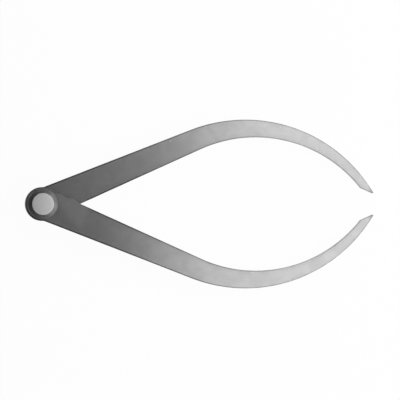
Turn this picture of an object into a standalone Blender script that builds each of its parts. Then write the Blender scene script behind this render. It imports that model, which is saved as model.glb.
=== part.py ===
"""Outside caliper with a firm lapped joint, built as separate pieces.

Two identical bowed legs are lapped at one end, one of them turned over. A solid rivet with two
countersunk heads holds them between bevelled washers, with a thin fibre friction washer between
the legs. The front leg swings about the rivet; everything else stays with the back leg.

Frame: metres, +Z up along the rivet. The origin is the centre of the back rivet head's flat face,
on which the caliper lies. +X runs from the rivet to the gauging points, halfway between the legs.
"""

from math import atan2, cos, pi, radians, sin, sqrt, tan

import bmesh
import bpy
from mathutils import Vector

# Opening in which the caliper is shown, between the two lines from the rivet to a gauging point
REST_OPENING = radians(3.69)

# Rivet
RIVET_SHANK_RADIUS = 0.0025
RIVET_FACE_RADIUS = 0.00485
RIVET_EDGE_BREAK = 0.00012
RIVET_PROUD = 0.00030  # height of a head's face above its washer
COUNTERSINK_HALF_ANGLE = radians(60.0)

# Bevelled washers, one under each head
WASHER_FLOOR = 0.00034  # straight bore left below the countersink
WASHER_RIM_HEIGHT = 0.00050
WASHER_LAND_WIDTH = 0.00010  # flat ring between the countersink and the bevel
WASHER_BEVEL_WIDTH = 0.00161

# Friction washer between the legs
FRICTION_WASHER_THICKNESS = 0.0005
FRICTION_WASHER_INSET = 0.0004  # inside the eyes of the legs

# Leg, measured from the rivet's axis, with the line to the gauging point as its own X axis
LEG_REACH = 0.150
PLATE_THICKNESS = 0.0025
EYE_MARGIN = 0.00075  # ring of the leg left showing round a bevelled washer
OUTER_SHOULDER = 0.00078  # how far the straight outer edge passes inside the eye's circle
INNER_SHOULDER = 0.00054
OUTER_EDGE_RISE = radians(19.39)
INNER_EDGE_RISE = radians(22.49)
OUTER_BOW_RADIUS = 0.0682
INNER_BOW_RADIUS = 0.0612
TIP_BEVEL_LENGTH = 0.0059
TIP_BEVEL_ANGLE = radians(25.6)
EDGE_BREAK = 0.00022
NOSE_LAND = 0.00008  # roundness left on the plate's face at the nose, inside the broken edge

# Set of the legs: flat where they lap, then bent gently so that both points meet in one plane
LAP_MARGIN = 0.0035
SET_END_SHARE = 0.92  # of the reach

# Clearances
RUNNING_CLEARANCE = 0.00005  # all round the shank, in the bores
SEAT_GAP = 0.00025  # between faces that bear on each other
CUT_OVERRUN = 0.002

# Fineness of the facets
EYE_FACETS = 44
BOW_FACETS = 26
NOSE_FACETS = 6
EDGE_FACETS = 2
SET_CUTS = 14
TURNED_FACETS = 72
SMOOTH_BELOW = radians(30.0)
WELD_DISTANCE = 0.000001


def countersink_depth(radius):
    """Depth of the rivet's countersink where it has narrowed from this radius to the shank's."""
    return (radius - RIVET_SHANK_RADIUS) / tan(COUNTERSINK_HALF_ANGLE)


# Heights of the stack above and below the plane in which the legs part
LAP_GAP = FRICTION_WASHER_THICKNESS / 2 + SEAT_GAP
PLATE_FACE = LAP_GAP + PLATE_THICKNESS
WASHER_SEAT = PLATE_FACE + SEAT_GAP
WASHER_TOP = WASHER_SEAT + WASHER_FLOOR + countersink_depth(RIVET_FACE_RADIUS)
RIVET_FACE = WASHER_TOP + RIVET_PROUD
PARTING_HEIGHT = RIVET_FACE  # the back rivet face lies at height zero

# Radii that follow from the rivet outwards
BORE_RADIUS = RIVET_SHANK_RADIUS + RUNNING_CLEARANCE
SINK_RADIUS = RIVET_FACE_RADIUS + SEAT_GAP
WASHER_RADIUS = SINK_RADIUS + WASHER_LAND_WIDTH + WASHER_BEVEL_WIDTH
EYE_RADIUS = WASHER_RADIUS + EYE_MARGIN
FRICTION_WASHER_RADIUS = EYE_RADIUS - FRICTION_WASHER_INSET
NOSE_RADIUS = EDGE_BREAK + NOSE_LAND

# Places along a leg
OUTER_OFFSET = EYE_RADIUS - OUTER_SHOULDER  # signed, from the rivet's axis to the straight edges
INNER_OFFSET = INNER_SHOULDER - EYE_RADIUS
FLAT_LAP_LENGTH = -INNER_OFFSET / sin(INNER_EDGE_RISE) + LAP_MARGIN  # past the closed legs' crotch
SET_END = SET_END_SHARE * LEG_REACH
PLATE_SET = LAP_GAP + PLATE_THICKNESS / 2


def direction(angle):
    return Vector((cos(angle), sin(angle)))


def arc(centre, radius, start, end, facets):
    """Points along an arc, both ends included, from angle start to angle end."""
    angles = [start + (end - start) * i / facets for i in range(facets + 1)]
    return [centre + radius * direction(angle) for angle in angles]


def angle_from(centre, point):
    return atan2(point.y - centre.y, point.x - centre.x)


def bow_centre(rise, offset, radius, point, distance):
    """Centre of the arc that leaves a leg's straight edge smoothly and keeps a distance from a point.

    The edge runs at the angle rise and passes the rivet's axis at the signed offset.
    """
    along, across = direction(rise), direction(rise + pi / 2)
    depth = point.dot(across) - (offset - radius)
    run = point.dot(along) - sqrt(distance**2 - depth**2)
    return run * along + (offset - radius) * across


def shoulder(rise, offset):
    """Where a straight edge leaves the eye's circle."""
    run = sqrt(EYE_RADIUS**2 - offset**2)
    return run * direction(rise) + offset * direction(rise + pi / 2)


def leg_outline():
    """Outline of a leg in its own plane, anticlockwise from the inner shoulder round to it again."""
    nose = Vector((LEG_REACH, NOSE_RADIUS))
    bevel_side = 3 * pi / 2 - TIP_BEVEL_ANGLE
    bevel_run = TIP_BEVEL_LENGTH * direction(pi - TIP_BEVEL_ANGLE)
    heel = nose + NOSE_RADIUS * direction(bevel_side) + bevel_run

    inner = bow_centre(INNER_EDGE_RISE, INNER_OFFSET, INNER_BOW_RADIUS, heel, INNER_BOW_RADIUS)
    outer = bow_centre(
        OUTER_EDGE_RISE, OUTER_OFFSET, OUTER_BOW_RADIUS, nose, OUTER_BOW_RADIUS - NOSE_RADIUS
    )

    inner_start = INNER_EDGE_RISE + pi / 2
    outer_start = OUTER_EDGE_RISE + pi / 2
    outer_end = angle_from(outer, nose)
    pivot = Vector((0, 0))
    eye_start = angle_from(pivot, shoulder(OUTER_EDGE_RISE, OUTER_OFFSET))
    eye_end = angle_from(pivot, shoulder(INNER_EDGE_RISE, INNER_OFFSET)) + 2 * pi

    points = arc(inner, INNER_BOW_RADIUS, inner_start, angle_from(inner, heel), BOW_FACETS)
    points += arc(nose, NOSE_RADIUS, bevel_side, outer_end + 2 * pi, NOSE_FACETS)
    points += arc(outer, OUTER_BOW_RADIUS, outer_end, outer_start, BOW_FACETS)[1:]
    points += arc(pivot, EYE_RADIUS, eye_start, eye_end, EYE_FACETS)
    return points


def set_rise(run):
    """How far the leg has come in towards the parting plane at this distance from the rivet."""
    share = (run - FLAT_LAP_LENGTH) / (SET_END - FLAT_LAP_LENGTH)
    share = min(max(share, 0), 1)
    return PLATE_SET * share**2 * (3 - 2 * share)


def leg_mesh():
    """The stamped leg: outline, plate, broken edges, and then the set that brings in its point."""
    shape = bmesh.new()
    corners = [shape.verts.new((p.x, p.y, -PLATE_FACE)) for p in leg_outline()]
    back = shape.faces.new(corners)
    grown = bmesh.ops.extrude_face_region(shape, geom=[back], use_keep_orig=True)
    raised = [v for v in grown["geom"] if isinstance(v, bmesh.types.BMVert)]
    bmesh.ops.translate(shape, verts=raised, vec=(0, 0, PLATE_THICKNESS))
    bmesh.ops.recalc_face_normals(shape, faces=shape.faces)

    rims = [e for e in shape.edges if abs(e.verts[0].co.z - e.verts[1].co.z) < WELD_DISTANCE]
    bmesh.ops.bevel(
        shape, geom=rims, offset=EDGE_BREAK, segments=EDGE_FACETS, profile=0.5, affect="EDGES"
    )

    for i in range(SET_CUTS + 1):
        run = FLAT_LAP_LENGTH + (SET_END - FLAT_LAP_LENGTH) * i / SET_CUTS
        everything = shape.verts[:] + shape.edges[:] + shape.faces[:]
        bmesh.ops.bisect_plane(shape, geom=everything, plane_co=(run, 0, 0), plane_no=(1, 0, 0))
    for vert in shape.verts:
        vert.co.z += set_rise(vert.co.x)

    mesh = bpy.data.meshes.new("leg")
    shape.to_mesh(mesh)
    shape.free()
    return mesh


def turned_mesh(name, profile, closed):
    """Turns (radius, height) points about Z. A closed profile is a ring that misses the axis."""
    shape = bmesh.new()
    verts = [shape.verts.new((radius, 0, height)) for radius, height in profile]
    edges = [shape.edges.new(pair) for pair in zip(verts, verts[1:])]
    if closed:
        edges.append(shape.edges.new((verts[-1], verts[0])))
    bmesh.ops.spin(
        shape,
        geom=verts + edges,
        cent=(0, 0, 0),
        axis=(0, 0, 1),
        angle=2 * pi,
        steps=TURNED_FACETS,
        use_merge=True,
    )
    bmesh.ops.remove_doubles(shape, verts=shape.verts, dist=WELD_DISTANCE)
    bmesh.ops.recalc_face_normals(shape, faces=shape.faces)
    mesh = bpy.data.meshes.new(name)
    shape.to_mesh(mesh)
    shape.free()
    return mesh


def rivet_mesh():
    """Solid rivet: a shank between two countersunk heads, with faces ground flat."""
    cone_end = WASHER_TOP - countersink_depth(RIVET_FACE_RADIUS)
    head = [
        (0, RIVET_FACE),
        (RIVET_FACE_RADIUS - RIVET_EDGE_BREAK, RIVET_FACE),
        (RIVET_FACE_RADIUS, RIVET_FACE - RIVET_EDGE_BREAK),
        (RIVET_FACE_RADIUS, WASHER_TOP),
        (RIVET_SHANK_RADIUS, cone_end),
    ]
    return turned_mesh("rivet", head + [(r, -z) for r, z in reversed(head)], closed=False)


def bevelled_washer_mesh():
    """Washer with a countersunk bore for the rivet's head and a broad bevel outside."""
    bore_top = WASHER_TOP - countersink_depth(SINK_RADIUS - RUNNING_CLEARANCE)
    profile = [
        (SINK_RADIUS, WASHER_TOP),
        (SINK_RADIUS + WASHER_LAND_WIDTH, WASHER_TOP),
        (WASHER_RADIUS, WASHER_SEAT + WASHER_RIM_HEIGHT),
        (WASHER_RADIUS, WASHER_SEAT),
        (BORE_RADIUS, WASHER_SEAT),
        (BORE_RADIUS, bore_top),
    ]
    return turned_mesh("bevelled_washer", profile, closed=True)


def friction_washer_mesh():
    half = FRICTION_WASHER_THICKNESS / 2
    profile = [
        (BORE_RADIUS, half),
        (FRICTION_WASHER_RADIUS, half),
        (FRICTION_WASHER_RADIUS, -half),
        (BORE_RADIUS, -half),
    ]
    return turned_mesh("friction_washer", profile, closed=True)


def bore_cutter(pivot):
    """Cylinder that drills the rivet hole through both legs."""
    shape = bmesh.new()
    bmesh.ops.create_cone(
        shape,
        cap_ends=True,
        segments=TURNED_FACETS,
        radius1=BORE_RADIUS,
        radius2=BORE_RADIUS,
        depth=2 * (PLATE_FACE + CUT_OVERRUN),
    )
    mesh = bpy.data.meshes.new("bore_cutter")
    shape.to_mesh(mesh)
    shape.free()
    cutter = bpy.data.objects.new("bore_cutter", mesh)
    bpy.context.collection.objects.link(cutter)
    cutter.parent = pivot
    cutter.hide_render = True
    cutter.display_type = "WIRE"
    return cutter


def material(name, colour, roughness, metallic):
    made = bpy.data.materials.new(name)
    made.use_nodes = True
    shader = made.node_tree.nodes["Principled BSDF"]
    shader.inputs["Base Color"].default_value = (*colour, 1)
    shader.inputs["Roughness"].default_value = roughness
    shader.inputs["Metallic"].default_value = metallic
    made.diffuse_color = (*colour, 1)
    return made


def finished(mesh, made):
    """The mesh, shaded smooth between its sharp edges and given its material."""
    mesh.shade_smooth()
    mesh.set_sharp_from_angle(angle=SMOOTH_BELOW)
    mesh.materials.append(made)
    return mesh


def place(name, mesh, pivot, turn=(0, 0, 0)):
    """A named piece on the rivet's axis, at the height where the legs part."""
    piece = bpy.data.objects.new(name, mesh)
    bpy.context.collection.objects.link(piece)
    piece.parent = pivot
    piece.rotation_euler = turn
    return piece


def drill(piece, cutter):
    cut = piece.modifiers.new("rivet_hole", "BOOLEAN")
    cut.operation = "DIFFERENCE"
    cut.solver = "EXACT"
    cut.object = cutter


def build():
    for old in list(bpy.data.objects):
        bpy.data.objects.remove(old, do_unlink=True)

    ground_steel = material("ground_steel", (0.42, 0.42, 0.42), 0.36, 1.0)
    blued_steel = material("blued_steel", (0.13, 0.13, 0.13), 0.38, 1.0)
    rivet_steel = material("rivet_steel", (0.62, 0.62, 0.62), 0.45, 1.0)
    fibre = material("fibre", (0.09, 0.06, 0.05), 0.75, 0.0)

    pivot = bpy.data.objects.new("pivot_axis", None)
    bpy.context.collection.objects.link(pivot)
    pivot.location = (0, 0, PARTING_HEIGHT)
    cutter = bore_cutter(pivot)

    leg = finished(leg_mesh(), ground_steel)
    drill(place("back_leg", leg, pivot, (0, 0, REST_OPENING / 2)), cutter)
    drill(place("front_leg", leg, pivot, (pi, 0, -REST_OPENING / 2)), cutter)

    washer = finished(bevelled_washer_mesh(), blued_steel)
    place("front_washer", washer, pivot)
    place("back_washer", washer, pivot, (pi, 0, 0))
    place("friction_washer", finished(friction_washer_mesh(), fibre), pivot)
    place("pivot_rivet", finished(rivet_mesh(), rivet_steel), pivot)


build()
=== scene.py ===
# %% [markdown]
# # An outside caliper
#
# The tool has two bowed steel legs, lapped at one end on a solid rivet, with a dark bevelled
# washer under each rivet head and a fibre washer between the legs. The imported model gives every
# piece its size and place. This script gives each piece a finer shape and its finish, and then
# sets up the camera and the light.
#
# Lengths are in metres. The rivet's axis is the Z axis, and the legs point along +X.

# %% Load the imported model
from math import atan2, cos, pi, radians, sin, sqrt, tan

import bpy
import numpy as np
from mathutils import Matrix, Vector


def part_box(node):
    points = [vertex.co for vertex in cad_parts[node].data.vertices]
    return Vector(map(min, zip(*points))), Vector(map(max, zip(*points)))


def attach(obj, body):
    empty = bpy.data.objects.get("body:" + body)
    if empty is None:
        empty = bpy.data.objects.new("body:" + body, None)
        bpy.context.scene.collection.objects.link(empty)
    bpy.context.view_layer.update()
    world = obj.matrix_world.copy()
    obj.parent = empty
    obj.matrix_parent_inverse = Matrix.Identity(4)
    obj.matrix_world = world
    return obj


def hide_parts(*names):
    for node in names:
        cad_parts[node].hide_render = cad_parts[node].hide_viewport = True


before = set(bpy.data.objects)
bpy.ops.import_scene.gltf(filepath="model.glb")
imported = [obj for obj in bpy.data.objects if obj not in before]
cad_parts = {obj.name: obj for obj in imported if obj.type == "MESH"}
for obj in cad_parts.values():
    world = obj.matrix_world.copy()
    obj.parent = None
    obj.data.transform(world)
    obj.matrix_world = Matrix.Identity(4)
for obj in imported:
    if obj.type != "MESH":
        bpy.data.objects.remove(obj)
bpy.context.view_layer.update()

BACK_BODY = "back_leg_and_rivet"
FRONT_BODY = "front_leg"

# %% [markdown]
# ## The camera
#
# The photograph is taken from nearly straight above, a little left of the joint, and from far
# away, so the lens is long. The camera's axes are written as the columns of a matrix, because a
# camera that looks straight down has no "up" of its own.

# %% Camera
CAMERA_PLACE = Vector((-0.1229, 0.0015, 1.5052))
CAMERA_TARGET = Vector((0.07122, 0.00180, 0.00525))
LENS_MM = 302.4
SENSOR_MM = 36.0

camera = bpy.data.objects.new("camera", bpy.data.cameras.new("camera"))
bpy.context.scene.collection.objects.link(camera)
camera.data.lens = LENS_MM
camera.data.sensor_width = SENSOR_MM
forward = (CAMERA_TARGET - CAMERA_PLACE).normalized()
right = forward.cross(Vector((0, 1, 0))).normalized()
columns = Matrix((right, right.cross(forward), -forward)).transposed()
camera.matrix_world = Matrix.Translation(CAMERA_PLACE) @ columns.to_4x4()
bpy.context.scene.camera = camera
print("camera at", tuple(round(c, 4) for c in CAMERA_PLACE))

# %% [markdown]
# ## Small helpers for node trees
#
# Geometry trees and shader trees are built the same way: make a node, set its options, and link
# its inputs or give them a value. A few short functions do all of it.


# %% Helpers for node trees
def node(tree, kind, inputs=None, **settings):
    """A new node, with its options set and each input linked or given a value."""
    made = tree.nodes.new(kind)
    for name, value in settings.items():
        setattr(made, name, value)
    for key, value in (inputs or {}).items():
        if isinstance(value, bpy.types.NodeSocket):
            tree.links.new(value, made.inputs[key])
        else:
            made.inputs[key].default_value = value
    return made


def calc(tree, operation, *values):
    """The result of a Math node."""
    made = node(tree, "ShaderNodeMath", dict(enumerate(values)), operation=operation)
    return made.outputs[0]


def times(tree, first, *others):
    """The product of two or more values."""
    for other in others:
        first = calc(tree, "MULTIPLY", first, other)
    return first


def new_tree(name, kind, inputs, outputs):
    """An empty node group with named sockets, and its input and output nodes."""
    tree = bpy.data.node_groups.new(name, kind)
    for label, socket, value in inputs:
        made = tree.interface.new_socket(label, in_out="INPUT", socket_type=socket)
        if value is not None:
            made.default_value = value
    for label, socket in outputs:
        tree.interface.new_socket(label, in_out="OUTPUT", socket_type=socket)
    return tree, tree.nodes.new("NodeGroupInput").outputs, tree.nodes.new("NodeGroupOutput")


FLOAT, COUNT, VECTOR = "NodeSocketFloat", "NodeSocketInt", "NodeSocketVector"
SHAPE, FINISH = "NodeSocketGeometry", "NodeSocketMaterial"
MERGE_DISTANCE = 0.000001

# %% [markdown]
# ## Effects that several finishes share
#
# Each effect is a small shader group, built once. `grain` is the fine parallel lines that a
# grinding wheel or a lathe tool leaves: noise, squeezed across the lines and drawn out along
# them. `blotches` is an uneven film, as oil and handling leave it. `specks` is a scatter of
# small ragged dots, for pits and nicks: a cell pattern, in which a share of the cells has a dot.


# %% Group: grain
def grain_group():
    tree, given, out = new_tree(
        "grain", "ShaderNodeTree",
        [("Vector", VECTOR, None), ("Lines", FLOAT, 1000.0), ("Stretch", FLOAT, 40.0)],
        [("Lines", FLOAT), ("Wander", FLOAT)],
    )
    squeeze = node(tree, "ShaderNodeCombineXYZ", {
        0: calc(tree, "DIVIDE", given["Lines"], given["Stretch"]),
        1: given["Lines"], 2: given["Lines"],
    })
    squeezed = node(tree, "ShaderNodeVectorMath", {0: given["Vector"], 1: squeeze.outputs[0]},
                    operation="MULTIPLY")
    fine = node(tree, "ShaderNodeTexNoise", {
        "Vector": squeezed.outputs[0], "Scale": 1.0, "Detail": 3.0, "Roughness": 0.6,
    })
    broad = node(tree, "ShaderNodeTexNoise", {
        "Vector": squeezed.outputs[0], "Scale": 0.13, "Detail": 2.0,
    })
    tree.links.new(fine.outputs[0], out.inputs["Lines"])
    tree.links.new(broad.outputs[0], out.inputs["Wander"])
    return tree


GRAIN = grain_group()
print("group", GRAIN.name, "with", len(GRAIN.nodes), "nodes")


# %% Group: blotches
def blotches_group():
    tree, given, out = new_tree(
        "blotches", "ShaderNodeTree",
        [("Vector", VECTOR, None), ("Size", FLOAT, 0.02), ("Detail", FLOAT, 4.0)],
        [("Film", FLOAT)],
    )
    cloud = node(tree, "ShaderNodeTexNoise", {
        "Vector": given["Vector"], "Scale": calc(tree, "DIVIDE", 1.0, given["Size"]),
        "Detail": given["Detail"], "Roughness": 0.55, "Distortion": 0.6,
    })
    shaped = node(tree, "ShaderNodeMapRange", {
        "Value": cloud.outputs[0], "From Min": 0.38, "From Max": 0.68,
    }, interpolation_type="SMOOTHSTEP")
    tree.links.new(shaped.outputs[0], out.inputs["Film"])
    return tree


BLOTCHES = blotches_group()
print("group", BLOTCHES.name, "with", len(BLOTCHES.nodes), "nodes")


# %% Group: specks
def specks_group():
    tree, given, out = new_tree(
        "specks", "ShaderNodeTree",
        [("Vector", VECTOR, None), ("Spacing", FLOAT, 0.003), ("Share", FLOAT, 0.1)],
        [("Speck", FLOAT)],
    )
    rate = calc(tree, "DIVIDE", 1.0, given["Spacing"])
    wobble = node(tree, "ShaderNodeTexNoise", {
        "Vector": given["Vector"], "Scale": times(tree, rate, 4.0), "Detail": 1.0,
    }).outputs["Color"]
    centred = node(tree, "ShaderNodeVectorMath", {0: wobble, 1: (0.5, 0.5, 0.5)},
                   operation="SUBTRACT").outputs[0]
    sway = node(tree, "ShaderNodeVectorMath", {
        0: centred, "Scale": times(tree, given["Spacing"], 0.25),
    }, operation="SCALE").outputs[0]
    ragged = node(tree, "ShaderNodeVectorMath", {0: given["Vector"], 1: sway},
                  operation="ADD").outputs[0]
    cells = node(tree, "ShaderNodeTexVoronoi", {"Vector": ragged, "Scale": rate},
                 feature="F1", voronoi_dimensions="2D")
    dot = node(tree, "ShaderNodeMapRange", {
        "Value": cells.outputs["Distance"], "From Min": 0.10, "From Max": 0.03,
    }, interpolation_type="SMOOTHSTEP")
    pick = node(tree, "ShaderNodeSeparateColor", {0: cells.outputs["Color"]})
    picked = calc(tree, "LESS_THAN", pick.outputs[0], given["Share"])
    tree.links.new(times(tree, dot.outputs[0], picked), out.inputs["Speck"])
    return tree


SPECKS = specks_group()
print("group", SPECKS.name, "with", len(SPECKS.nodes), "nodes")

# %% [markdown]
# ## Finishes
#
# Every finish is one Principled BSDF. Its uniform numbers are set on the shader itself, and only
# what varies over the surface comes in through a link.


# %% Helpers for finishes
def finish(name, **sockets):
    """A material and its Principled BSDF, with the uniform values set on the shader."""
    made = bpy.data.materials.new(name)
    made.use_nodes = True
    shader = made.node_tree.nodes["Principled BSDF"]
    for label, value in sockets.items():
        shader.inputs[label.replace("_", " ")].default_value = value
    return made, made.node_tree, shader


def group(tree, shared, **inputs):
    """One use of a shared effect in a material."""
    return node(tree, "ShaderNodeGroup", inputs, node_tree=shared).outputs


def grey(level):
    return (level, level, level)


def colour_between(tree, mask, dark, light):
    """A colour that goes from dark to light with a mask."""
    made = node(tree, "ShaderNodeMix", {"Factor": mask}, data_type="RGBA")
    made.inputs["A"].default_value = (*dark, 1)
    made.inputs["B"].default_value = (*light, 1)
    return made.outputs["Result"]


def mix_grey(tree, mask, colour, level):
    """A colour that goes over into one grey with a mask."""
    made = node(tree, "ShaderNodeMix", {"Factor": mask, "A": colour}, data_type="RGBA")
    made.inputs["B"].default_value = (*grey(level), 1)
    return made.outputs["Result"]


def between(tree, mask, low, high):
    """A number that goes from low to high with a mask."""
    made = node(tree, "ShaderNodeMapRange", {"Value": mask, "To Min": low, "To Max": high})
    return made.outputs[0]


def ramp(tree, value, start, end):
    """A mask that goes smoothly from 0 where the value is start to 1 where it is end."""
    made = node(tree, "ShaderNodeMapRange", {
        "Value": value, "From Min": start, "From Max": end,
    }, interpolation_type="SMOOTHSTEP")
    return made.outputs[0]


def distance_from_axis(tree, place):
    """How far a point of a turned piece lies from the rivet's axis."""
    level = node(tree, "ShaderNodeVectorMath", {0: place, 1: (1, 1, 0)}, operation="MULTIPLY")
    return node(tree, "ShaderNodeVectorMath", {0: level.outputs[0]},
                operation="LENGTH").outputs["Value"]


def bump(tree, shader, height, distance):
    """Feeds a fine relief into the shader. distance is its depth in metres."""
    made = node(tree, "ShaderNodeBump", {"Height": height, "Distance": distance})
    tree.links.new(made.outputs[0], shader.inputs["Normal"])


# %% [markdown]
# ### Ground steel of the legs
#
# The faces are ground along the leg and then lightly polished, so they are satin. The pattern
# follows the bow because it reads two attributes of the mesh. `grain` holds each point's
# distance along the leg from the back of the eye, its distance across, positive on the outer
# side, and its height in the plate. `half_width` is half the leg's width there, which tells how
# far a point lies inside the edge. Other ways to do it, such as an unwrapped map, would need a
# seam. All lengths are in metres, and each ramp names where its mask is 0 and where it is 1.
#
# The finish is built in layers: the bare face, painted shade and a darker inner edge on it, and
# the scale on the edges, which is partly painted shade.


# %% Where a point lies on the leg
EYE_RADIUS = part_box("back_leg")[0].x * -1
MIDDLE_LINE = 0.1739  # from the back of the eye to the nose


def leg_place(tree):
    """The grain attribute, its first two parts, and the distance inside the edge."""
    grain = node(tree, "ShaderNodeAttribute", attribute_name="grain").outputs["Vector"]
    half = node(tree, "ShaderNodeAttribute", attribute_name="half_width").outputs["Fac"]
    along, across, _ = node(tree, "ShaderNodeSeparateXYZ", {0: grain}).outputs
    return grain, along, across, calc(tree, "SUBTRACT", half, calc(tree, "ABSOLUTE", across))


# %% [markdown]
# The wheel leaves fine lines along the leg. A thin film of oil and handling lies over them in
# soft smudges, stronger on the shanks, where the tool is held, than on the bows. A few dark
# specks are scattered over the face. Small dark pits and bright nicks sit close to the edges,
# the pits mostly on the bows, which knock against other tools.


# %% Layer: bare face
FACE_DARK, FACE_LIGHT, SMUDGE_GREY = 0.40, 0.585, 0.40
SPOT_GREY, NICK_GREY, PIT_GREY = 0.25, 0.72, 0.24


def bare_face(tree, place, lines, smudge, along, inside):
    tone = calc(tree, "ADD", times(tree, lines["Lines"], 0.85),
                times(tree, lines["Wander"], 0.15))
    metal = colour_between(tree, tone, grey(FACE_DARK), grey(FACE_LIGHT))
    handled = between(tree, ramp(tree, along, 0.04, 0.10), 0.7, 0.4)
    metal = mix_grey(tree, times(tree, smudge, handled), metal, SMUDGE_GREY)

    spots = group(tree, SPECKS, Vector=place, Spacing=0.0016, Share=0.012)["Speck"]
    metal = mix_grey(tree, times(tree, spots, 0.4), metal, SPOT_GREY)
    by_edge = times(tree, ramp(tree, inside, 0.0026, 0.0014),
                    ramp(tree, inside, 0.00002, 0.0003))
    nicks = group(tree, SPECKS, Vector=place, Spacing=0.0036, Share=0.25)["Speck"]
    metal = mix_grey(tree, times(tree, nicks, by_edge, 0.7), metal, NICK_GREY)
    pits = group(tree, SPECKS, Vector=place, Spacing=0.0029, Share=0.3)["Speck"]
    on_bow = between(tree, ramp(tree, along, 0.085, 0.120), 0.15, 0.55)
    return mix_grey(tree, times(tree, pits, by_edge, on_bow), metal, PIT_GREY)


# %% [markdown]
# Painted shade darkens the head round the washer, most in the corner right beside it. The inner
# side of each leg is a little darker near its inner edge than the outer side. The gauging point is
# darkened at its very end with painted shade.


# %% Layer: painted shade and a darker inner edge
SHADE_AND_DULL_GREY, POINT_SHADE_GREY = 0.21, 0.30


def painted_shade_and_dull(tree, metal, along, across, inside):
    from_pivot = node(tree, "ShaderNodeCombineXYZ", {
        0: calc(tree, "SUBTRACT", along, EYE_RADIUS), 1: across,
    }).outputs[0]
    radius = node(tree, "ShaderNodeVectorMath", {0: from_pivot},
                  operation="LENGTH").outputs["Value"]
    # Painted shade: darker round the washer, most in the corner right beside it.
    washer_shade = calc(tree, "ADD", times(tree, ramp(tree, radius, 0.0105, 0.0070), 0.15),
                 times(tree, ramp(tree, radius, 0.0077, 0.0069), 0.2))
    dull = times(tree, ramp(tree, across, 0.0, -0.002), ramp(tree, inside, 0.0032, 0.0), 0.14)
    metal = mix_grey(tree, calc(tree, "MAXIMUM", washer_shade, dull), metal, SHADE_AND_DULL_GREY)
    # Painted shade: the gauging point is darkened at its very end.
    point = ramp(tree, along, MIDDLE_LINE - 0.0035, MIDDLE_LINE - 0.0010)
    return mix_grey(tree, times(tree, point, 0.6), metal, POINT_SHADE_GREY)


# %% [markdown]
# The edges were sheared and keep the dark scale of the rolled plate, which creeps unevenly over
# the face. Along the first part of the shank and round the outer side of the eye it is laid
# broader, as painted shade beside the edge. It is rubbed off the inner side of the head, and worn
# down towards the points, most on the inner edge. `creep` is the cloud that makes it uneven.


# %% Layer: scale on the edges, partly painted shade
SCALE_DARK, SCALE_LIGHT = 0.023, 0.038


def edge_scale_and_shade(tree, along, across, inside, creep, eye, rubbed):
    """How much scale and painted shade cover the metal: how broad they lie, and how much is left.
    """
    # Painted shade: the scale is laid broader near the head, and round the outer side of the eye.
    width = between(tree, ramp(tree, along, 0.068, 0.045), 0.0006, 0.00085)
    eye_shade_width = between(tree, ramp(tree, across, 0.001, 0.005), 0.0004, 0.0010)
    width = between(tree, eye, width, eye_shade_width)
    width = calc(tree, "MINIMUM", width, between(tree, rubbed, 0.0009, 0.0002))
    inside = calc(tree, "SUBTRACT", inside, times(tree, creep, 0.00015))
    broad = ramp(tree, inside, width, times(tree, width, 0.25))

    left = between(tree, ramp(tree, along, 0.03, 0.125), 0.98, 0.48)
    patchy = between(tree, ramp(tree, along, 0.06, 0.12), 0.08, 0.32)
    left = calc(tree, "SUBTRACT", left, times(tree, creep, patchy))
    worn = times(tree, ramp(tree, along, 0.106, 0.140), ramp(tree, across, 0.0005, -0.0005))
    return times(tree, broad, left, between(tree, worn, 1.0, 0.42))


# %% [markdown]
# The legs differ in two things. The front leg's head is duller, because thumbs rub it, and the
# back leg's pattern is taken from elsewhere in the noise, so that the two are not alike.


# %% Finish: ground steel
def ground_steel(name, thumbed, shift):
    """A leg's finish. thumbed is how much rougher the head is, and shift moves the pattern."""
    made, tree, shader = finish(name, Metallic=1.0)
    grain, along, across, inside = leg_place(tree)
    place = node(tree, "ShaderNodeVectorMath", {0: grain, 1: (shift, shift, shift)},
                 operation="ADD").outputs[0]
    lines = group(tree, GRAIN, Vector=place, Lines=9000.0, Stretch=60.0)
    smudge = group(tree, BLOTCHES, Vector=place, Size=0.007, Detail=1.5)["Film"]
    creep = group(tree, BLOTCHES, Vector=place, Size=0.0024)["Film"]
    eye = ramp(tree, along, 0.016, 0.009)
    # The rubbed part lies inwards of a line that slants across the head.
    slant = calc(tree, "MULTIPLY_ADD", along, -0.5, across)
    rubbed = times(tree, ramp(tree, along, 0.031, 0.025), ramp(tree, slant, -0.007, -0.012))

    metal = bare_face(tree, place, lines, smudge, along, inside)
    metal = painted_shade_and_dull(tree, metal, along, across, inside)
    scale = edge_scale_and_shade(tree, along, across, inside, creep, eye, rubbed)
    crust = colour_between(tree, creep, grey(SCALE_DARK), grey(SCALE_LIGHT))
    mixed = node(tree, "ShaderNodeMix", {"Factor": scale, "A": metal, "B": crust},
                 data_type="RGBA")
    tree.links.new(mixed.outputs["Result"], shader.inputs["Base Color"])

    rough = calc(tree, "ADD", between(tree, lines["Lines"], 0.262, 0.30),
                 times(tree, smudge, 0.018))
    rough = calc(tree, "MULTIPLY_ADD", calc(tree, "MAXIMUM", eye, rubbed), thumbed, rough)
    rough = calc(tree, "MULTIPLY_ADD", scale, 0.2, rough)
    tree.links.new(rough, shader.inputs["Roughness"])
    bump(tree, shader, lines["Lines"], 0.0000025)
    return made


FRONT_FINISH = ground_steel("front_leg_steel", thumbed=0.04, shift=0.0)
BACK_FINISH = ground_steel("back_leg_steel", thumbed=0.0, shift=1.3)
print("finishes", FRONT_FINISH.name, "and", BACK_FINISH.name)

# %% [markdown]
# ### Ground rivet face
#
# The heads are hammered down and ground flush on a coarser wheel than the legs, so the face is
# lighter but less shiny. It has straight scratches across it, and a bright rim where the edge is
# broken; the rim is also lightened in colour as a painted highlight.


# %% Finish: rivet steel
RIVET_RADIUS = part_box("pivot_rivet")[1].x
SCRATCH_WAY = radians(24)
RIVET_BRIGHT, RIVET_DULL = 0.71, 0.64


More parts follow.
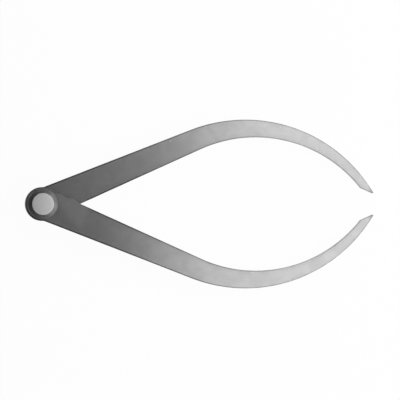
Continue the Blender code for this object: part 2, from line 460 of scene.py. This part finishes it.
def rivet_steel():
    made, tree, shader = finish("ground_rivet_steel", Metallic=1.0)
    place = node(tree, "ShaderNodeTexCoord").outputs["Object"]
    turned = node(tree, "ShaderNodeMapping", {"Vector": place})
    turned.inputs["Rotation"].default_value = (0, 0, SCRATCH_WAY)
    lines = group(tree, GRAIN, Vector=turned.outputs[0], Lines=7000.0, Stretch=25.0)
    film = group(tree, BLOTCHES, Vector=place, Size=0.0035)["Film"]
    radius = distance_from_axis(tree, place)
    rim = ramp(tree, radius, RIVET_RADIUS - 0.0005, RIVET_RADIUS - 0.0001)

    tone = calc(tree, "ADD", times(tree, lines["Lines"], 0.6), times(tree, film, 0.4))
    metal = colour_between(tree, tone, grey(RIVET_BRIGHT), grey(RIVET_DULL))
    # The rim's colour is lifted to the bright grey: a painted highlight on the broken edge.
    tree.links.new(mix_grey(tree, rim, metal, RIVET_BRIGHT), shader.inputs["Base Color"])
    rough = calc(tree, "SUBTRACT", between(tree, lines["Lines"], 0.60, 0.72),
                 times(tree, rim, 0.15))
    tree.links.new(rough, shader.inputs["Roughness"])
    bump(tree, shader, lines["Lines"], 0.000008)
    return made


RIVET_FINISH = rivet_steel()
print("finish", RIVET_FINISH.name)

# %% [markdown]
# ### Blackened steel of the bevelled washers
#
# The washers are turned on a lathe and blackened. The tool leaves fine rings, so this pattern
# reads the distance from the rivet's axis. On the outer arris the black has worn through, but
# only on the side away from the legs, where the joint rubs in the hand and in the case.


# %% Finish: blued steel
WASHER_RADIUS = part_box("front_washer")[1].x
RIVET_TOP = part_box("pivot_rivet")[1].z
PARTING = RIVET_TOP / 2  # the plane between the legs, which is the middle of the joint
BLACK_DARK, BLACK_LIGHT, WORN_GREY = 0.092, 0.175, 0.46


def blued_steel():
    made, tree, shader = finish("blackened_steel", Metallic=1.0)
    place = node(tree, "ShaderNodeTexCoord").outputs["Object"]
    x, _, height = node(tree, "ShaderNodeSeparateXYZ", {0: place}).outputs
    radius = distance_from_axis(tree, place)
    rings = node(tree, "ShaderNodeCombineXYZ", {0: radius, 2: height}).outputs[0]
    tool = node(tree, "ShaderNodeTexNoise", {
        "Vector": rings, "Scale": 6000.0, "Detail": 2.0,
    }).outputs[0]
    film = group(tree, BLOTCHES, Vector=place, Size=0.004)["Film"]

    tone = calc(tree, "ADD", times(tree, tool, 0.6), times(tree, film, 0.4))
    metal = colour_between(tree, tone, grey(BLACK_DARK), grey(BLACK_LIGHT))
    rim = ramp(tree, radius, WASHER_RADIUS - 0.0004, WASHER_RADIUS - 0.0001)
    lift = calc(tree, "ABSOLUTE", calc(tree, "SUBTRACT", height, PARTING))
    arris = times(tree, rim, ramp(tree, lift, 0.0032, 0.0036))
    away = ramp(tree, x, -0.0032, -0.0059)
    worn = times(tree, arris, away, between(tree, film, 0.9, 0.5))
    tree.links.new(mix_grey(tree, worn, metal, WORN_GREY), shader.inputs["Base Color"])
    tree.links.new(between(tree, tool, 0.24, 0.34), shader.inputs["Roughness"])
    bump(tree, shader, tool, 0.000010)
    return made


WASHER_FINISH = blued_steel()
print("finish", WASHER_FINISH.name)

# %% [markdown]
# ### Fibre of the friction washer
#
# Vulcanised fibre is pressed from cotton paper: dull, dark red-brown and faintly mottled. Only
# its edge shows, between the legs.


# %% Finish: fibre
FIBRE_DARK, FIBRE_LIGHT = (0.075, 0.045, 0.035), (0.12, 0.075, 0.055)


def fibre():
    made, tree, shader = finish("pressed_fibre", Metallic=0.0)
    place = node(tree, "ShaderNodeTexCoord").outputs["Object"]
    mottle = group(tree, BLOTCHES, Vector=place, Size=0.0012)["Film"]
    tree.links.new(colour_between(tree, mottle, FIBRE_DARK, FIBRE_LIGHT),
                   shader.inputs["Base Color"])
    tree.links.new(between(tree, mottle, 0.65, 0.85), shader.inputs["Roughness"])
    bump(tree, shader, mottle, 0.00002)
    return made


FIBRE_FINISH = fibre()
print("finish", FIBRE_FINISH.name)

# %% [markdown]
# ## The legs
#
# A leg is stamped from plate. Its outline has two long edges, each a circle round the eye, a
# straight, and the arc of the bow, and the inner one ends in the bevel that leaves a narrow
# gauging nose. Such a shape could be extruded and bevelled, but then the faces are single huge
# polygons with nothing on them for the grain to follow. Here the two edges are rails, made in
# pairs of points that face each other, and a Geometry Nodes tree stretches the plate's section
# from one rail to the other.
#
# The sizes repeat the solid model's, in the leg's own frame: the rivet's axis is at the origin
# and the gauging point on +X. Only the shoulder is new: the head's inner edge swells by 0.9 mm
# up to the crotch and falls back behind it, and shows on top of the other leg as a soft curve.

# %% Sizes of a leg
LEG_REACH = 0.150
OUTER_OFFSET = EYE_RADIUS - 0.00078  # from the pivot to the line of the outer edge
INNER_OFFSET = 0.00054 - EYE_RADIUS
OUTER_RISE = radians(19.39)  # from +X to the outer edge's straight
INNER_RISE = radians(22.49)
OUTER_BOW = 0.0682
INNER_BOW = 0.0612
BEVEL_LENGTH = 0.0059
BEVEL_ANGLE = radians(25.6)
NOSE_RADIUS = 0.0003
EDGE_RADIUS = 0.00022
THICKNESS = 0.0025
HALF_OPENING = radians(3.69) / 2  # from the tool's middle line to a leg's +X
HEAD_LENGTH = 0.014  # the first part of each straight, which has the shoulder
SHOULDER_AT, SHOULDER_FALL, SHOULDER_HEIGHT = 0.0105, 0.0025, 0.0009
print("eye radius", round(EYE_RADIUS * 1000, 3), "mm, parting plane at",
      round(PARTING * 1000, 3), "mm")


# %% Helpers for the rails
def ray(angle):
    """The unit vector at an angle from +X."""
    return np.array([cos(angle), sin(angle)])


def arc_run(centre, radius, start, end, steps, facing=1):
    """Rows of x, y and the outward direction. facing is -1 where the metal is outside the arc."""
    angles = np.linspace(start, end, steps + 1)
    rays = np.column_stack([np.cos(angles), np.sin(angles)])
    return np.column_stack([centre + radius * rays, facing * rays])


def line_run(start, end, outward, steps):
    """The same rows along a straight."""
    share = np.linspace(0, 1, steps + 1)[:, None]
    return np.column_stack([start + share * (end - start), np.tile(outward, (steps + 1, 1))])


def shoulder_run(start, along, outward, length, steps):
    """A straight that swells a little on the way, as the head's edge does up to its shoulder."""
    run = np.linspace(0, length, steps + 1)
    fall = np.clip((run - SHOULDER_AT) / SHOULDER_FALL, 0, 1)
    swell = SHOULDER_HEIGHT * run / SHOULDER_AT * (1 - fall**2 * (3 - 2 * fall))
    slope = np.gradient(swell, run)[:, None]
    place = start + run[:, None] * along + swell[:, None] * outward
    facing = (outward - slope * along) / np.sqrt(1 + slope**2)
    return np.column_stack([place, facing])


def rail_of(*runs):
    """Joins the runs. Where two meet at a corner, the outward direction is mitred."""
    rail = runs[0]
    for run in runs[1:]:
        before, after = rail[-1, 2:], run[0, 2:]
        rail[-1, 2:] = (before + after) / (1 + before @ after)
        rail = np.vstack([rail, run[1:]])
    return rail


def bow_centre(rise, offset, radius, point, distance):
    """Centre of the bow that leaves a straight edge smoothly and keeps a distance from a point."""
    along, across = ray(rise), ray(rise + pi / 2)
    depth = point @ across - (offset - radius)
    run = point @ along - sqrt(distance**2 - depth**2)
    return run * along + (offset - radius) * across


# %% The two rails
def leg_rails():
    """The outer and the inner rail, from the back of the eye to the nose, with as many points."""
    eye, head, straight, bow, bevel, tip = 48, 42, 30, 112, 10, 8
    side = 3 * pi / 2 - BEVEL_ANGLE
    nose = np.array([LEG_REACH, NOSE_RADIUS])
    bevel_end = nose + NOSE_RADIUS * ray(side)
    heel = bevel_end + BEVEL_LENGTH * ray(pi - BEVEL_ANGLE)
    inner = bow_centre(INNER_RISE, INNER_OFFSET, INNER_BOW, heel, INNER_BOW)
    outer = bow_centre(OUTER_RISE, OUTER_OFFSET, OUTER_BOW, nose, OUTER_BOW - NOSE_RADIUS)

    def angle(centre, point):
        return atan2(*(point - centre)[::-1])

    def shoulder(rise, offset):
        return sqrt(EYE_RADIUS**2 - offset**2) * ray(rise) + offset * ray(rise + pi / 2)

    pivot = np.zeros(2)
    up, down = OUTER_RISE + pi / 2, INNER_RISE + pi / 2
    out_start, in_start = shoulder(OUTER_RISE, OUTER_OFFSET), shoulder(INNER_RISE, INNER_OFFSET)
    out_end = angle(outer, nose)
    front = (side + out_end + 2 * pi) / 2
    out_head = out_start + HEAD_LENGTH * ray(OUTER_RISE)
    in_head = in_start + HEAD_LENGTH * ray(INNER_RISE)

    outer_rail = rail_of(
        arc_run(pivot, EYE_RADIUS, pi, angle(pivot, out_start), eye),
        line_run(out_start, out_head, ray(up), head),
        line_run(out_head, outer + OUTER_BOW * ray(up), ray(up), straight),
        arc_run(outer, OUTER_BOW, up, angle(outer, heel), bow),
        arc_run(outer, OUTER_BOW, angle(outer, heel), out_end, bevel),
        arc_run(nose, NOSE_RADIUS, out_end + 2 * pi, front, tip),
    )
    inner_rail = rail_of(
        arc_run(pivot, EYE_RADIUS, pi, angle(pivot, in_start) + 2 * pi, eye),
        shoulder_run(in_start, ray(INNER_RISE), -ray(down), HEAD_LENGTH, head),
        line_run(in_head, inner + INNER_BOW * ray(down), -ray(down), straight),
        arc_run(inner, INNER_BOW, down, angle(inner, heel), bow, facing=-1),
        line_run(heel, bevel_end, ray(side), bevel),
        arc_run(nose, NOSE_RADIUS, side, front, tip),
    )
    return outer_rail, inner_rail


OUTER_RAIL, INNER_RAIL = leg_rails()
STATIONS = len(OUTER_RAIL)
print("rails of", STATIONS, "points; leg", round(OUTER_RAIL[:, 0].max() * 1000, 2), "mm long")

# %% [markdown]
# The rails go to the tree as a mesh of loose points with three attributes: `outward`, which way
# is out of the metal, `along`, how far down the leg the pair lies, and `half_width`. The last
# two are what the steel's finish reads later.


# %% Rails as a mesh with attributes
def rails_mesh():
    points = np.vstack([OUTER_RAIL, INNER_RAIL])
    middle = (OUTER_RAIL[:, :2] + INNER_RAIL[:, :2]) / 2
    steps = np.linalg.norm(np.diff(middle, axis=0), axis=1)
    along = np.concatenate([[0], np.cumsum(steps)])
    half = np.linalg.norm(OUTER_RAIL[:, :2] - INNER_RAIL[:, :2], axis=1) / 2

    mesh = bpy.data.meshes.new("leg_rails")
    mesh.from_pydata([(x, y, 0) for x, y in points[:, :2]], [], [])
    outward = mesh.attributes.new("outward", "FLOAT_VECTOR", "POINT")
    flat = np.column_stack([points[:, 2:], np.zeros(len(points))])
    outward.data.foreach_set("vector", flat.ravel().astype(np.float32))
    for name, values in (("along", along), ("half_width", half)):
        made = mesh.attributes.new(name, "FLOAT", "POINT")
        made.data.foreach_set("value", np.tile(values, 2).astype(np.float32))
    return mesh


RAILS = rails_mesh()
widest = max(spot.value for spot in RAILS.attributes["half_width"].data) * 2
run = max(spot.value for spot in RAILS.attributes["along"].data)
print("widest", round(widest * 1000, 2), "mm, middle line", round(run * 1000, 2), "mm")

# %% [markdown]
# ### The tree that makes a leg
#
# The tree starts from a grid with one row for each station and one column for each point of the
# section. Each grid point works out its own place from its index alone: which station and which
# rail it belongs to, how far round the rounded edge it has turned, and so how far it lies inside
# the rail and above or below the middle of the plate. The rivet hole is then cut. The points on
# its rim are new and know nothing of the grain, so both attributes are read again off the uncut
# leg. Last the leg is set: bent gently, so that both noses end in the plane between the legs.


# %% Tree: lofted leg
FACE_LOOP = 0.27  # how far a face's outer loop lies inside the rounding, in edge radii
BORE_FACETS = 96
LEG_CORNER = radians(19)


def leg_tree():
    tree, given, out = new_tree(
        "lofted_leg", "GeometryNodeTree",
        [("Rails", SHAPE, None), ("Stations", COUNT, 10), ("Thickness", FLOAT, 0.0025),
         ("Edge Radius", FLOAT, 0.0002), ("Edge Steps", COUNT, 6), ("Bore Radius", FLOAT, 0.002),
         ("Middle Height", FLOAT, 0.0), ("Set Start", FLOAT, 0.0), ("Set End", FLOAT, 0.1),
         ("Set Height", FLOAT, 0.0), ("Finish", FINISH, None)],
        [("Leg", SHAPE)],
    )
    steps = given["Edge Steps"]
    side_count = calc(tree, "MULTIPLY_ADD", steps, 2.0, 4.0)
    around = times(tree, side_count, 2.0)
    columns = calc(tree, "ADD", around, 1.0)
    grid = node(tree, "GeometryNodeMeshGrid", {
        "Vertices X": given["Stations"], "Vertices Y": columns,
    }).outputs["Mesh"]

    index = node(tree, "GeometryNodeInputIndex").outputs[0]
    station = calc(tree, "FLOOR", calc(tree, "DIVIDE", calc(tree, "ADD", index, 0.5), columns))
    column = calc(tree, "SUBTRACT", index, times(tree, station, columns))
    not_last = calc(tree, "LESS_THAN", column, calc(tree, "SUBTRACT", around, 0.5))
    column = times(tree, column, not_last)  # the last column closes on the first
    inner = calc(tree, "GREATER_THAN", column, calc(tree, "SUBTRACT", side_count, 0.5))

    # On the outer rail the columns run downwards, and on the inner one back up.
    last = calc(tree, "SUBTRACT", side_count, 1.0)
    down = calc(tree, "SUBTRACT", column, times(tree, inner, side_count))
    back_up = calc(tree, "SUBTRACT", last, down)
    turn_step = node(tree, "ShaderNodeMix", {0: inner, 2: down, 3: back_up}).outputs[0]

    # How far the edge has turned: a quarter circle above the wall and one below it.
    above = node(tree, "ShaderNodeMapRange", {
        "Value": turn_step, "From Min": 1.0, "From Max": calc(tree, "ADD", steps, 1.0),
        "To Min": pi / 2, "To Max": 0.0,
    }).outputs[0]
    below = node(tree, "ShaderNodeMapRange", {
        "Value": turn_step, "From Min": calc(tree, "ADD", steps, 2.0),
        "From Max": calc(tree, "MULTIPLY_ADD", steps, 2.0, 2.0), "To Min": 0.0, "To Max": pi / 2,
    }).outputs[0]
    turn = calc(tree, "SUBTRACT", above, below)
    half_way = calc(tree, "ADD", steps, 1.5)
    upper = calc(tree, "SIGN", calc(tree, "SUBTRACT", half_way, turn_step))
    from_middle = calc(tree, "ABSOLUTE", calc(tree, "SUBTRACT", turn_step, half_way))
    on_face = calc(tree, "GREATER_THAN", from_middle, calc(tree, "ADD", steps, 1.2))

    radius = given["Edge Radius"]
    inset = times(tree, radius, calc(tree, "SUBTRACT", 1.0, calc(tree, "COSINE", turn)))
    inset = calc(tree, "ADD", inset, times(tree, on_face, times(tree, radius, FACE_LOOP)))
    wall = calc(tree, "SUBTRACT", calc(tree, "DIVIDE", given["Thickness"], 2.0), radius)
    height = calc(tree, "ADD", times(tree, upper, wall),
                  times(tree, radius, calc(tree, "SINE", turn)))

    pair = calc(tree, "ADD", station, times(tree, inner, given["Stations"]))

    def from_rail(name, kind, value):
        if value is None:
            value = node(tree, "GeometryNodeInputNamedAttribute", {"Name": name},
                         data_type=kind).outputs[0]
        return node(tree, "GeometryNodeSampleIndex", {
            "Geometry": given["Rails"], "Value": value, "Index": pair,
        }, data_type=kind).outputs[0]

    point = from_rail("", "FLOAT_VECTOR", node(tree, "GeometryNodeInputPosition").outputs[0])
    outward = from_rail("outward", "FLOAT_VECTOR", None)
    along = from_rail("along", "FLOAT", None)
    half_width = from_rail("half_width", "FLOAT", None)
    inward = times(tree, inset, -1.0)
    pulled_in = node(tree, "ShaderNodeVectorMath", {
        0: outward, 1: node(tree, "ShaderNodeCombineXYZ", {0: inward, 1: inward}).outputs[0],
        2: point,
    }, operation="MULTIPLY_ADD").outputs[0]
    lifted = node(tree, "ShaderNodeVectorMath", {
        0: pulled_in, 1: node(tree, "ShaderNodeCombineXYZ", {2: height}).outputs[0],
    }, operation="ADD").outputs[0]

    side = calc(tree, "SUBTRACT", 1.0, times(tree, inner, 2.0))
    across = times(tree, side, calc(tree, "SUBTRACT", half_width, inset))
    lines = node(tree, "ShaderNodeCombineXYZ", {0: along, 1: across, 2: height}).outputs[0]

    shape = node(tree, "GeometryNodeStoreNamedAttribute", {
        "Geometry": grid, "Name": "grain", "Value": lines,
    }, data_type="FLOAT_VECTOR", domain="POINT").outputs[0]
    shape = node(tree, "GeometryNodeStoreNamedAttribute", {
        "Geometry": shape, "Name": "half_width", "Value": half_width,
    }, data_type="FLOAT", domain="POINT").outputs[0]
    shape = node(tree, "GeometryNodeSetPosition", {
        "Geometry": shape, "Position": lifted,
    }).outputs[0]
    shape = node(tree, "GeometryNodeMergeByDistance", {
        "Geometry": shape, "Distance": MERGE_DISTANCE,
    }).outputs[0]
    drill = node(tree, "GeometryNodeMeshCylinder", {
        "Vertices": BORE_FACETS, "Radius": given["Bore Radius"],
        "Depth": times(tree, given["Thickness"], 2.0),
    }).outputs["Mesh"]
    whole, shape = shape, node(tree, "GeometryNodeMeshBoolean", {
        "Mesh 1": shape, "Mesh 2": drill,
    }, operation="DIFFERENCE", solver="EXACT").outputs[0]

    # Both attributes are read again off the uncut leg.
    for label, kind in (("grain", "FLOAT_VECTOR"), ("half_width", "FLOAT")):
        stored = node(tree, "GeometryNodeInputNamedAttribute", {"Name": label}, data_type=kind)
        read = node(tree, "GeometryNodeSampleNearestSurface", {
            "Mesh": whole, "Value": stored.outputs[0],
        }, data_type=kind).outputs[0]
        shape = node(tree, "GeometryNodeStoreNamedAttribute", {
            "Geometry": shape, "Name": label, "Value": read,
        }, data_type=kind, domain="POINT").outputs[0]

    parts = node(tree, "ShaderNodeSeparateXYZ", {
        0: node(tree, "GeometryNodeInputPosition").outputs[0],
    }).outputs
    rise = node(tree, "ShaderNodeMapRange", {
        "Value": parts[0], "From Min": given["Set Start"], "From Max": given["Set End"],
        "To Min": 0.0, "To Max": given["Set Height"],
    }, interpolation_type="SMOOTHSTEP").outputs[0]
    shape = node(tree, "GeometryNodeSetPosition", {
        "Geometry": shape, "Offset": node(tree, "ShaderNodeCombineXYZ", {
            2: calc(tree, "ADD", rise, given["Middle Height"]),
        }).outputs[0],
    }).outputs[0]

    corner = node(tree, "GeometryNodeInputMeshEdgeAngle").outputs["Unsigned Angle"]
    shape = node(tree, "GeometryNodeSetShadeSmooth", {
        "Geometry": shape, "Selection": calc(tree, "GREATER_THAN", corner, LEG_CORNER),
        "Shade Smooth": False,
    }, domain="EDGE").outputs[0]
    shape = node(tree, "GeometryNodeRealizeInstances", {0: shape}).outputs[0]
    shape = node(tree, "GeometryNodeSetMaterial", {
        "Geometry": shape, "Material": given["Finish"],
    }).outputs[0]
    tree.links.new(shape, out.inputs["Leg"])
    return tree


LEG_TREE = leg_tree()
print("tree", LEG_TREE.name, "with", len(LEG_TREE.nodes), "nodes")


# %% Helper: run a tree and keep its result
def grown(name, start, tree, values, place):
    """Runs a geometry tree on a mesh or curve and keeps the result as a plain mesh."""
    source = bpy.data.objects.new(name + "_source", start)
    bpy.context.scene.collection.objects.link(source)
    modifier = source.modifiers.new("tree", "NODES")
    modifier.node_group = tree
    sockets = {s.name: s.identifier for s in tree.interface.items_tree if s.in_out == "INPUT"}
    for label, value in values.items():
        modifier[sockets[label]] = value
    bpy.context.view_layer.update()
    evaluated = source.evaluated_get(bpy.context.evaluated_depsgraph_get())
    result = bpy.data.meshes.new_from_object(evaluated)
    source.modifiers.remove(modifier)
    bpy.data.objects.remove(source)
    result.name = name
    result.transform(place)
    piece = bpy.data.objects.new(name, result)
    bpy.context.scene.collection.objects.link(piece)
    size = [round((max(c) - min(c)) * 1000, 2) for c in zip(*(v.co for v in result.vertices))]
    print(name, len(result.polygons), "faces,", " x ".join(map(str, size)), "mm")
    return piece


# %% [markdown]
# Both legs are the same piece of work. The back one is opened by half the opening, and the front
# one is turned over first, so that it opens to the other side and lies above the parting plane.
# A leg stays flat as far as the two overlap, and is set from there on.


# %% Both legs
LAP_GAP = 0.0005  # from the parting plane to a leg
BORE_RADIUS = 0.00253
CROTCH = -INNER_OFFSET / sin(INNER_RISE)  # where the inner straight meets the leg's +X line
FLAT_LENGTH = CROTCH + 0.0035
SET_END = 0.92 * LEG_REACH
LEG_VALUES = {
    "Stations": STATIONS, "Thickness": THICKNESS, "Edge Radius": EDGE_RADIUS, "Edge Steps": 6,
    "Bore Radius": BORE_RADIUS, "Middle Height": -LAP_GAP - THICKNESS / 2,
    "Set Start": FLAT_LENGTH, "Set End": SET_END, "Set Height": LAP_GAP + THICKNESS / 2,
}
at_parting = Matrix.Translation((0, 0, PARTING))
opened = Matrix.Rotation(HALF_OPENING, 4, "Z")
turned_over = Matrix.Rotation(pi, 4, "X")
back_leg = grown("back_leg_ground", RAILS, LEG_TREE, LEG_VALUES | {"Finish": BACK_FINISH},
                 at_parting @ opened)
front_leg = grown("front_leg_ground", RAILS, LEG_TREE, LEG_VALUES | {"Finish": FRONT_FINISH},
                  at_parting @ turned_over @ opened)

# %% [markdown]
# ## The turned pieces
#
# The rivet and the washers are round: a section, turned about the rivet's axis. One tree makes
# them all. It rounds the section's corners with Fillet Curve and sweeps the section round a
# circle with Curve to Mesh. Curve to Mesh wants a circle of some size, so the section is moved
# inwards by that circle's radius first. The sweep comes out with its faces inwards, so they are
# flipped.


# %% Tree: turned piece
HUB_RADIUS = 0.001
TURNED_CORNER = radians(30)


def turned_tree():
    tree, given, out = new_tree(
        "turned_piece", "GeometryNodeTree",
        [("Section", SHAPE, None), ("Corner Radius", FLOAT, 0.0001), ("Corner Steps", COUNT, 4),
         ("Facets", COUNT, 128), ("Finish", FINISH, None)],
        [("Piece", SHAPE)],
    )
    rounded = node(tree, "GeometryNodeFilletCurve", {
        "Curve": given["Section"], "Count": given["Corner Steps"],
        "Radius": given["Corner Radius"], "Limit Radius": True,
    }, mode="POLY").outputs[0]
    circle = node(tree, "GeometryNodeCurvePrimitiveCircle", {
        "Resolution": given["Facets"], "Radius": HUB_RADIUS,
    }).outputs["Curve"]
    from_hub = node(tree, "GeometryNodeSetPosition", {
        "Geometry": rounded, "Offset": (-HUB_RADIUS, 0.0, 0.0),
    }).outputs[0]
    swept = node(tree, "GeometryNodeCurveToMesh", {
        "Curve": circle, "Profile Curve": from_hub,
    }).outputs[0]
    merged = node(tree, "GeometryNodeMergeByDistance", {
        "Geometry": swept, "Distance": MERGE_DISTANCE,
    }).outputs[0]
    facing_out = node(tree, "GeometryNodeFlipFaces", {"Mesh": merged}).outputs[0]
    smooth = node(tree, "GeometryNodeSetShadeSmooth", {"Geometry": facing_out}).outputs[0]
    corner = node(tree, "GeometryNodeInputMeshEdgeAngle").outputs["Unsigned Angle"]
    smooth = node(tree, "GeometryNodeSetShadeSmooth", {
        "Geometry": smooth, "Selection": calc(tree, "GREATER_THAN", corner, TURNED_CORNER),
        "Shade Smooth": False,
    }, domain="EDGE").outputs[0]
    whole = node(tree, "GeometryNodeRealizeInstances", {0: smooth}).outputs[0]
    made = node(tree, "GeometryNodeSetMaterial", {
        "Geometry": whole, "Material": given["Finish"],
    }).outputs[0]
    tree.links.new(made, out.inputs["Piece"])
    return tree


TURNED_TREE = turned_tree()
print("tree", TURNED_TREE.name, "with", len(TURNED_TREE.nodes), "nodes")


# %% Helper: a section as a curve
def section(name, points, closed):
    """A section as a polyline in its own plane: X is the radius and Y the height."""
    curve = bpy.data.curves.new(name, "CURVE")
    curve.dimensions = "3D"
    line = curve.splines.new("POLY")
    line.points.add(len(points) - 1)
    for spot, (radius, height) in zip(line.points, points):
        spot.co = (radius, height, 0, 1)
    line.use_cyclic_u = closed
    return curve


# %% [markdown]
# The rivet's heads fill cones in the washers and stand a little proud of them. Each washer bears
# on its leg, and the fibre washer fills the gap between the legs. All heights are taken from the
# parting plane, because the joint is the same above and below it.

# %% Sizes of the joint
SHANK_RADIUS = 0.0025
WASHER_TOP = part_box("front_washer")[1].z - PARTING
PLATE_FACE = LAP_GAP + THICKNESS
SLACK = 0.00001  # keeps faces that bear on each other from being one and the same
SINK_SLOPE = tan(radians(60))
LAND_WIDTH = 0.00012  # of the washer's flat top beside the rivet
RIM_HEIGHT = 0.00075
FIBRE_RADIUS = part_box("friction_washer")[1].x
print("washer", round(WASHER_RADIUS * 2000, 2), "mm across, rivet", round(RIVET_RADIUS * 2000, 2))

# %% Rivet, washers and friction washer
head = RIVET_TOP - PARTING
cone_end = WASHER_TOP - (RIVET_RADIUS - SHANK_RADIUS) / SINK_SLOPE
half_rivet = [(0, head), (RIVET_RADIUS, head), (RIVET_RADIUS, WASHER_TOP),
              (SHANK_RADIUS, cone_end)]
rivet = grown(
    "rivet_ground", section("rivet", half_rivet + [(r, -z) for r, z in half_rivet[::-1]], False),
    TURNED_TREE, {"Corner Radius": 0.00026, "Corner Steps": 4, "Facets": 160,
                  "Finish": RIVET_FINISH}, at_parting)

washer_section = section("washer", [
    (RIVET_RADIUS + SLACK, WASHER_TOP),
    (RIVET_RADIUS + LAND_WIDTH, WASHER_TOP),
    (WASHER_RADIUS, PLATE_FACE + RIM_HEIGHT),
    (WASHER_RADIUS, PLATE_FACE + SLACK),
    (SHANK_RADIUS + SLACK, PLATE_FACE + SLACK),
    (SHANK_RADIUS + SLACK, cone_end + SLACK),
], True)
washer_values = {"Corner Radius": 0.00008, "Corner Steps": 3, "Facets": 160,
                 "Finish": WASHER_FINISH}
front_washer = grown("front_washer_turned", washer_section, TURNED_TREE, washer_values,
                     at_parting)
back_washer = grown("back_washer_turned", washer_section, TURNED_TREE, washer_values,
                    at_parting @ turned_over)

fibre_half = LAP_GAP - SLACK
fibre_section = section("fibre", [
    (SHANK_RADIUS + SLACK, fibre_half), (FIBRE_RADIUS, fibre_half),
    (FIBRE_RADIUS, -fibre_half), (SHANK_RADIUS + SLACK, -fibre_half),
], True)
fibre_washer = grown("friction_washer_punched", fibre_section, TURNED_TREE,
                     {"Corner Radius": 0.00008, "Corner Steps": 3, "Facets": 96,
                      "Finish": FIBRE_FINISH}, at_parting)

# %% [markdown]
# ## What moves with what
#
# The front leg swings on the rivet. All the other pieces stay with the back leg.

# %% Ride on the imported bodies
for piece, body, replaced, slot in (
    (back_leg, BACK_BODY, "back_leg", "ground_steel"),
    (front_leg, FRONT_BODY, "front_leg", "ground_steel"),
    (rivet, BACK_BODY, "pivot_rivet", "rivet_steel"),
    (front_washer, BACK_BODY, "front_washer", "blued_steel"),
    (back_washer, BACK_BODY, "back_washer", "blued_steel"),
    (fibre_washer, BACK_BODY, "friction_washer", "fibre"),
):
    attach(piece, body)
    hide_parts(replaced)
    print(piece.name, "rides on", body)

# %% [markdown]
# ## Floor and light
#
# The tool lies on a white floor, in a room that is dim overhead and lighter all round, with a
# wide soft panel above and beyond the points. Steel shows what it reflects. The camera looks
# down with a slight slant, so the legs go from dark at the joint, where they reflect the dim
# part overhead, to light at the points, where they reflect the edge of the panel.


# %% Floor
FLOOR_GREY, SEEN_WHITE = 0.9, 0.96
FLOOR_HALF, FLOOR_DROP = 4.0, 0.00002


def floor_finish():
    """A pale floor that shows plain white behind the tool but keeps a trace of its shadow."""
    made, tree, shader = finish("floor", Roughness=0.9)
    shader.inputs["Base Color"].default_value = (*grey(FLOOR_GREY), 1)
    path = node(tree, "ShaderNodeLightPath").outputs
    seen = calc(tree, "MAXIMUM", path["Is Camera Ray"],
                calc(tree, "MAXIMUM", path["Is Glossy Ray"], path["Is Transmission Ray"]))
    glow = node(tree, "ShaderNodeEmission", {"Color": (1, 1, 1, 1), "Strength": 1.0})
    mixed = node(tree, "ShaderNodeMixShader", {
        0: times(tree, seen, SEEN_WHITE), 1: shader.outputs[0], 2: glow.outputs[0],
    })
    tree.links.new(mixed.outputs[0], tree.nodes["Material Output"].inputs["Surface"])
    return made


def floor_piece():
    half = FLOOR_HALF
    mesh = bpy.data.meshes.new("floor")
    mesh.from_pydata([(-half, -half, 0), (half, -half, 0), (half, half, 0), (-half, half, 0)],
                     [], [(0, 1, 2, 3)])
    mesh.materials.append(floor_finish())
    made = bpy.data.objects.new("floor", mesh)
    bpy.context.scene.collection.objects.link(made)
    made.location.z = -FLOOR_DROP
    return made


floor_piece()
print("floor laid")


# %% Room light
ZENITH_LIGHT, SIDE_LIGHT, RIGHT_OVER_LEFT = 0.12, 1.05, 0.924


def room():
    """A world that is dim overhead, lighter towards the horizon, and lightest on the right."""
    world = bpy.data.worlds.new("room")
    world.use_nodes = True
    tree = world.node_tree
    tree.nodes.clear()
    way = node(tree, "ShaderNodeTexCoord").outputs["Generated"]
    x, y, z = node(tree, "ShaderNodeSeparateXYZ", {0: way}).outputs
    level = calc(tree, "SUBTRACT", 1.0, calc(tree, "ABSOLUTE", z))
    around = calc(tree, "MULTIPLY_ADD", x, RIGHT_OVER_LEFT, SIDE_LIGHT)
    light = calc(tree, "MULTIPLY_ADD", around, level, ZENITH_LIGHT)
    shade = node(tree, "ShaderNodeBackground", {"Strength": light})
    output = node(tree, "ShaderNodeOutputWorld")
    tree.links.new(shade.outputs[0], output.inputs[0])
    bpy.context.scene.world = world


room()
print("room lit")


# %% Soft panel
def panel(name, place, turn, wide, deep, light):
    """A soft panel that faces straight down, turned about the vertical."""
    lamp = bpy.data.lights.new(name, "AREA")
    lamp.shape = "RECTANGLE"
    lamp.size, lamp.size_y = wide, deep
    lamp.energy = light * pi * wide * deep
    made = bpy.data.objects.new(name, lamp)
    bpy.context.scene.collection.objects.link(made)
    made.location = place
    made.rotation_euler.z = turn
    made.visible_camera = False
    return made


PANEL_WIDE, PANEL_DEEP, PANEL_LIGHT = 0.60, 0.80, 1.236
PANEL_PLACE, PANEL_TURN = Vector((0.398, 0.0, 0.247)), radians(9)
panel("right_panel", PANEL_PLACE, PANEL_TURN, PANEL_WIDE, PANEL_DEEP, PANEL_LIGHT)
print("panel over the points")

# %% [markdown]
# ## Finish
#
# The colour settings stay plain, so that each colour renders about as it is written.

# %% Colour settings
bpy.context.scene.view_settings.view_transform = "Standard"
